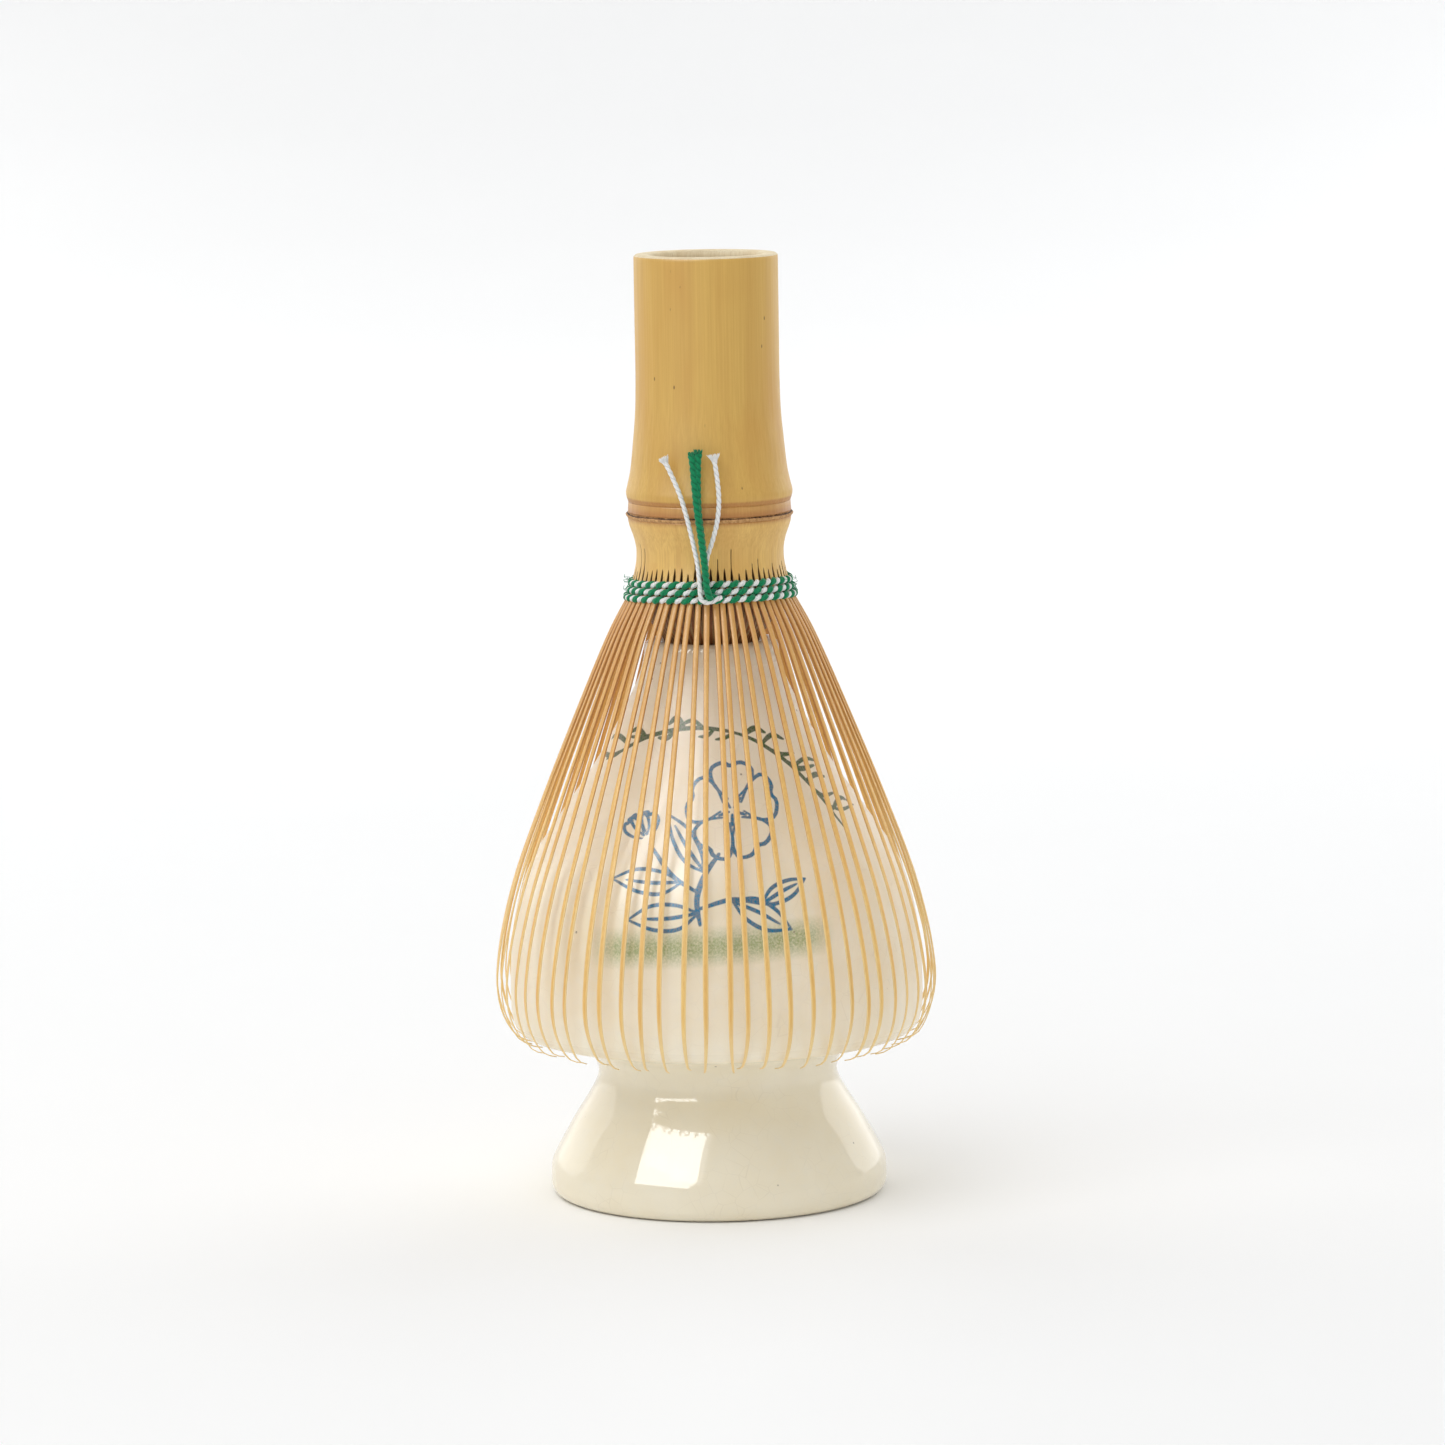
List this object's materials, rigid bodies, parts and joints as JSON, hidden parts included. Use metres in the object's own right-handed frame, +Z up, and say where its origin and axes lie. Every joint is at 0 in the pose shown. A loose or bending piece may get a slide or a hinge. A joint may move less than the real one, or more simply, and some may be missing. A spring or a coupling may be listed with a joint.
{
  "type": "bamboo tea whisk on a ceramic stand",
  "caption": "Bamboo tea whisk with an open culm handle, a braided cord round its split neck and bowed tines, standing on a hollow glazed ceramic shaping stand.",
  "frame": {"origin": "centre of the stand's foot, on the surface it stands on", "axes": "+Z up along the common axis of stand and whisk, -Y towards the cord's knot, +X to the right of the knot"},
  "size_m": [0.0646, 0.0646, 0.137],
  "materials": {
    "glaze": "cream glaze, fine crackle, glossy, with a painted sprig",
    "culm_skin": "dried bamboo skin, satin, fine lengthwise fibres",
    "node_band": "bamboo node, smooth, more orange than the culm",
    "culm_inside": "pale inner wall of the culm, matt",
    "sheath_scar": "dark brown sheath scar, matt",
    "split_neck": "bamboo skin, split and shaved",
    "outer_tines": "shaved bamboo, satin",
    "inner_tines": "shaved bamboo, darkened inside",
    "braid_cord": "two-colour cotton cord, green and white",
    "white_cord": "white cotton cord, loosely twisted",
    "green_cord": "green cotton cord, loosely twisted"
  },
  "bodies": {
    "stand": {"stand_belly": "glaze", "stand_foot": "glaze", "stand_neck": "glaze", "stand_shoulder": "glaze"},
    "whisk": {"braid_row_bottom": "braid_cord", "braid_row_middle": "braid_cord", "braid_row_top": "braid_cord", "handle": "culm_skin", "inner_tines_01": "inner_tines", "inner_tines_02": "inner_tines", "inner_tines_03": "inner_tines", "inner_tines_04": "inner_tines", "inner_tines_05": "inner_tines", "inner_tines_06": "inner_tines", "inner_tines_07": "inner_tines", "inner_tines_08": "inner_tines", "inner_tines_09": "inner_tines", "inner_tines_10": "inner_tines", "inner_tines_11": "inner_tines", "inner_tines_12": "inner_tines", "inner_tines_13": "inner_tines", "inner_tines_14": "inner_tines", "inner_tines_15": "inner_tines", "inner_tines_16": "inner_tines", "inner_wrap": "braid_cord", "knot": "white_cord", "node_band": "node_band", "septum": "culm_inside", "sheath_scar": "sheath_scar", "split_neck": "split_neck", "tail_green_left": "green_cord", "tail_green_right": "green_cord", "tail_white_left": "white_cord", "tail_white_right": "white_cord"},
    "tines_01": {"outer_tines_01": "outer_tines"},
    "tines_02": {"outer_tines_02": "outer_tines"},
    "tines_03": {"outer_tines_03": "outer_tines"},
    "tines_04": {"outer_tines_04": "outer_tines"},
    "tines_05": {"outer_tines_05": "outer_tines"},
    "tines_06": {"outer_tines_06": "outer_tines"},
    "tines_07": {"outer_tines_07": "outer_tines"},
    "tines_08": {"outer_tines_08": "outer_tines"},
    "tines_09": {"outer_tines_09": "outer_tines"},
    "tines_10": {"outer_tines_10": "outer_tines"},
    "tines_11": {"outer_tines_11": "outer_tines"},
    "tines_12": {"outer_tines_12": "outer_tines"},
    "tines_13": {"outer_tines_13": "outer_tines"},
    "tines_14": {"outer_tines_14": "outer_tines"},
    "tines_15": {"outer_tines_15": "outer_tines"},
    "tines_16": {"outer_tines_16": "outer_tines"}
  },
  "joints": [
    {"name": "whisk_lift", "type": "slide", "parent": "stand", "child": "whisk", "axis": [0, 0, 1], "range_m": [0, 0.075], "deforming": ["outer_tines_01", "outer_tines_02", "outer_tines_03", "outer_tines_04", "outer_tines_05", "outer_tines_06", "outer_tines_07", "outer_tines_08", "outer_tines_09", "outer_tines_10", "outer_tines_11", "outer_tines_12", "outer_tines_13", "outer_tines_14", "outer_tines_15", "outer_tines_16"]},
    {"name": "tine_splay_01", "type": "hinge", "parent": "whisk", "child": "tines_01", "pos_m": [0, -0.01205, 0.08715], "axis": [-1, 0, 0], "range_deg": [0, 6], "stiffness_Nm_per_rad": 0.004},
    {"name": "tine_splay_02", "type": "hinge", "parent": "whisk", "child": "tines_02", "pos_m": [0.00461, -0.01113, 0.08715], "axis": [-0.9239, -0.3827, 0], "range_deg": [0, 6], "stiffness_Nm_per_rad": 0.004},
    {"name": "tine_splay_03", "type": "hinge", "parent": "whisk", "child": "tines_03", "pos_m": [0.00852, -0.00852, 0.08715], "axis": [-0.7071, -0.7071, 0], "range_deg": [0, 6], "stiffness_Nm_per_rad": 0.004},
    {"name": "tine_splay_04", "type": "hinge", "parent": "whisk", "child": "tines_04", "pos_m": [0.01113, -0.00461, 0.08715], "axis": [-0.3827, -0.9239, 0], "range_deg": [0, 6], "stiffness_Nm_per_rad": 0.004},
    {"name": "tine_splay_05", "type": "hinge", "parent": "whisk", "child": "tines_05", "pos_m": [0.01205, 0, 0.08715], "axis": [0, -1, 0], "range_deg": [0, 6], "stiffness_Nm_per_rad": 0.004},
    {"name": "tine_splay_06", "type": "hinge", "parent": "whisk", "child": "tines_06", "pos_m": [0.01113, 0.00461, 0.08715], "axis": [0.3827, -0.9239, 0], "range_deg": [0, 6], "stiffness_Nm_per_rad": 0.004},
    {"name": "tine_splay_07", "type": "hinge", "parent": "whisk", "child": "tines_07", "pos_m": [0.00852, 0.00852, 0.08715], "axis": [0.7071, -0.7071, 0], "range_deg": [0, 6], "stiffness_Nm_per_rad": 0.004},
    {"name": "tine_splay_08", "type": "hinge", "parent": "whisk", "child": "tines_08", "pos_m": [0.00461, 0.01113, 0.08715], "axis": [0.9239, -0.3827, 0], "range_deg": [0, 6], "stiffness_Nm_per_rad": 0.004},
    {"name": "tine_splay_09", "type": "hinge", "parent": "whisk", "child": "tines_09", "pos_m": [0, 0.01205, 0.08715], "axis": [1, 0, 0], "range_deg": [0, 6], "stiffness_Nm_per_rad": 0.004},
    {"name": "tine_splay_10", "type": "hinge", "parent": "whisk", "child": "tines_10", "pos_m": [-0.00461, 0.01113, 0.08715], "axis": [0.9239, 0.3827, 0], "range_deg": [0, 6], "stiffness_Nm_per_rad": 0.004},
    {"name": "tine_splay_11", "type": "hinge", "parent": "whisk", "child": "tines_11", "pos_m": [-0.00852, 0.00852, 0.08715], "axis": [0.7071, 0.7071, 0], "range_deg": [0, 6], "stiffness_Nm_per_rad": 0.004},
    {"name": "tine_splay_12", "type": "hinge", "parent": "whisk", "child": "tines_12", "pos_m": [-0.01113, 0.00461, 0.08715], "axis": [0.3827, 0.9239, 0], "range_deg": [0, 6], "stiffness_Nm_per_rad": 0.004},
    {"name": "tine_splay_13", "type": "hinge", "parent": "whisk", "child": "tines_13", "pos_m": [-0.01205, 0, 0.08715], "axis": [0, 1, 0], "range_deg": [0, 6], "stiffness_Nm_per_rad": 0.004},
    {"name": "tine_splay_14", "type": "hinge", "parent": "whisk", "child": "tines_14", "pos_m": [-0.01113, -0.00461, 0.08715], "axis": [-0.3827, 0.9239, 0], "range_deg": [0, 6], "stiffness_Nm_per_rad": 0.004},
    {"name": "tine_splay_15", "type": "hinge", "parent": "whisk", "child": "tines_15", "pos_m": [-0.00852, -0.00852, 0.08715], "axis": [-0.7071, 0.7071, 0], "range_deg": [0, 6], "stiffness_Nm_per_rad": 0.004},
    {"name": "tine_splay_16", "type": "hinge", "parent": "whisk", "child": "tines_16", "pos_m": [-0.00461, -0.01113, 0.08715], "axis": [-0.9239, 0.3827, 0], "range_deg": [0, 6], "stiffness_Nm_per_rad": 0.004}
  ],
  "couplings": [
    {"joint": "tine_splay_02", "follows": "tine_splay_01", "ratio": 1},
    {"joint": "tine_splay_03", "follows": "tine_splay_01", "ratio": 1},
    {"joint": "tine_splay_04", "follows": "tine_splay_01", "ratio": 1},
    {"joint": "tine_splay_05", "follows": "tine_splay_01", "ratio": 1},
    {"joint": "tine_splay_06", "follows": "tine_splay_01", "ratio": 1},
    {"joint": "tine_splay_07", "follows": "tine_splay_01", "ratio": 1},
    {"joint": "tine_splay_08", "follows": "tine_splay_01", "ratio": 1},
    {"joint": "tine_splay_09", "follows": "tine_splay_01", "ratio": 1},
    {"joint": "tine_splay_10", "follows": "tine_splay_01", "ratio": 1},
    {"joint": "tine_splay_11", "follows": "tine_splay_01", "ratio": 1},
    {"joint": "tine_splay_12", "follows": "tine_splay_01", "ratio": 1},
    {"joint": "tine_splay_13", "follows": "tine_splay_01", "ratio": 1},
    {"joint": "tine_splay_14", "follows": "tine_splay_01", "ratio": 1},
    {"joint": "tine_splay_15", "follows": "tine_splay_01", "ratio": 1},
    {"joint": "tine_splay_16", "follows": "tine_splay_01", "ratio": 1}
  ]
}
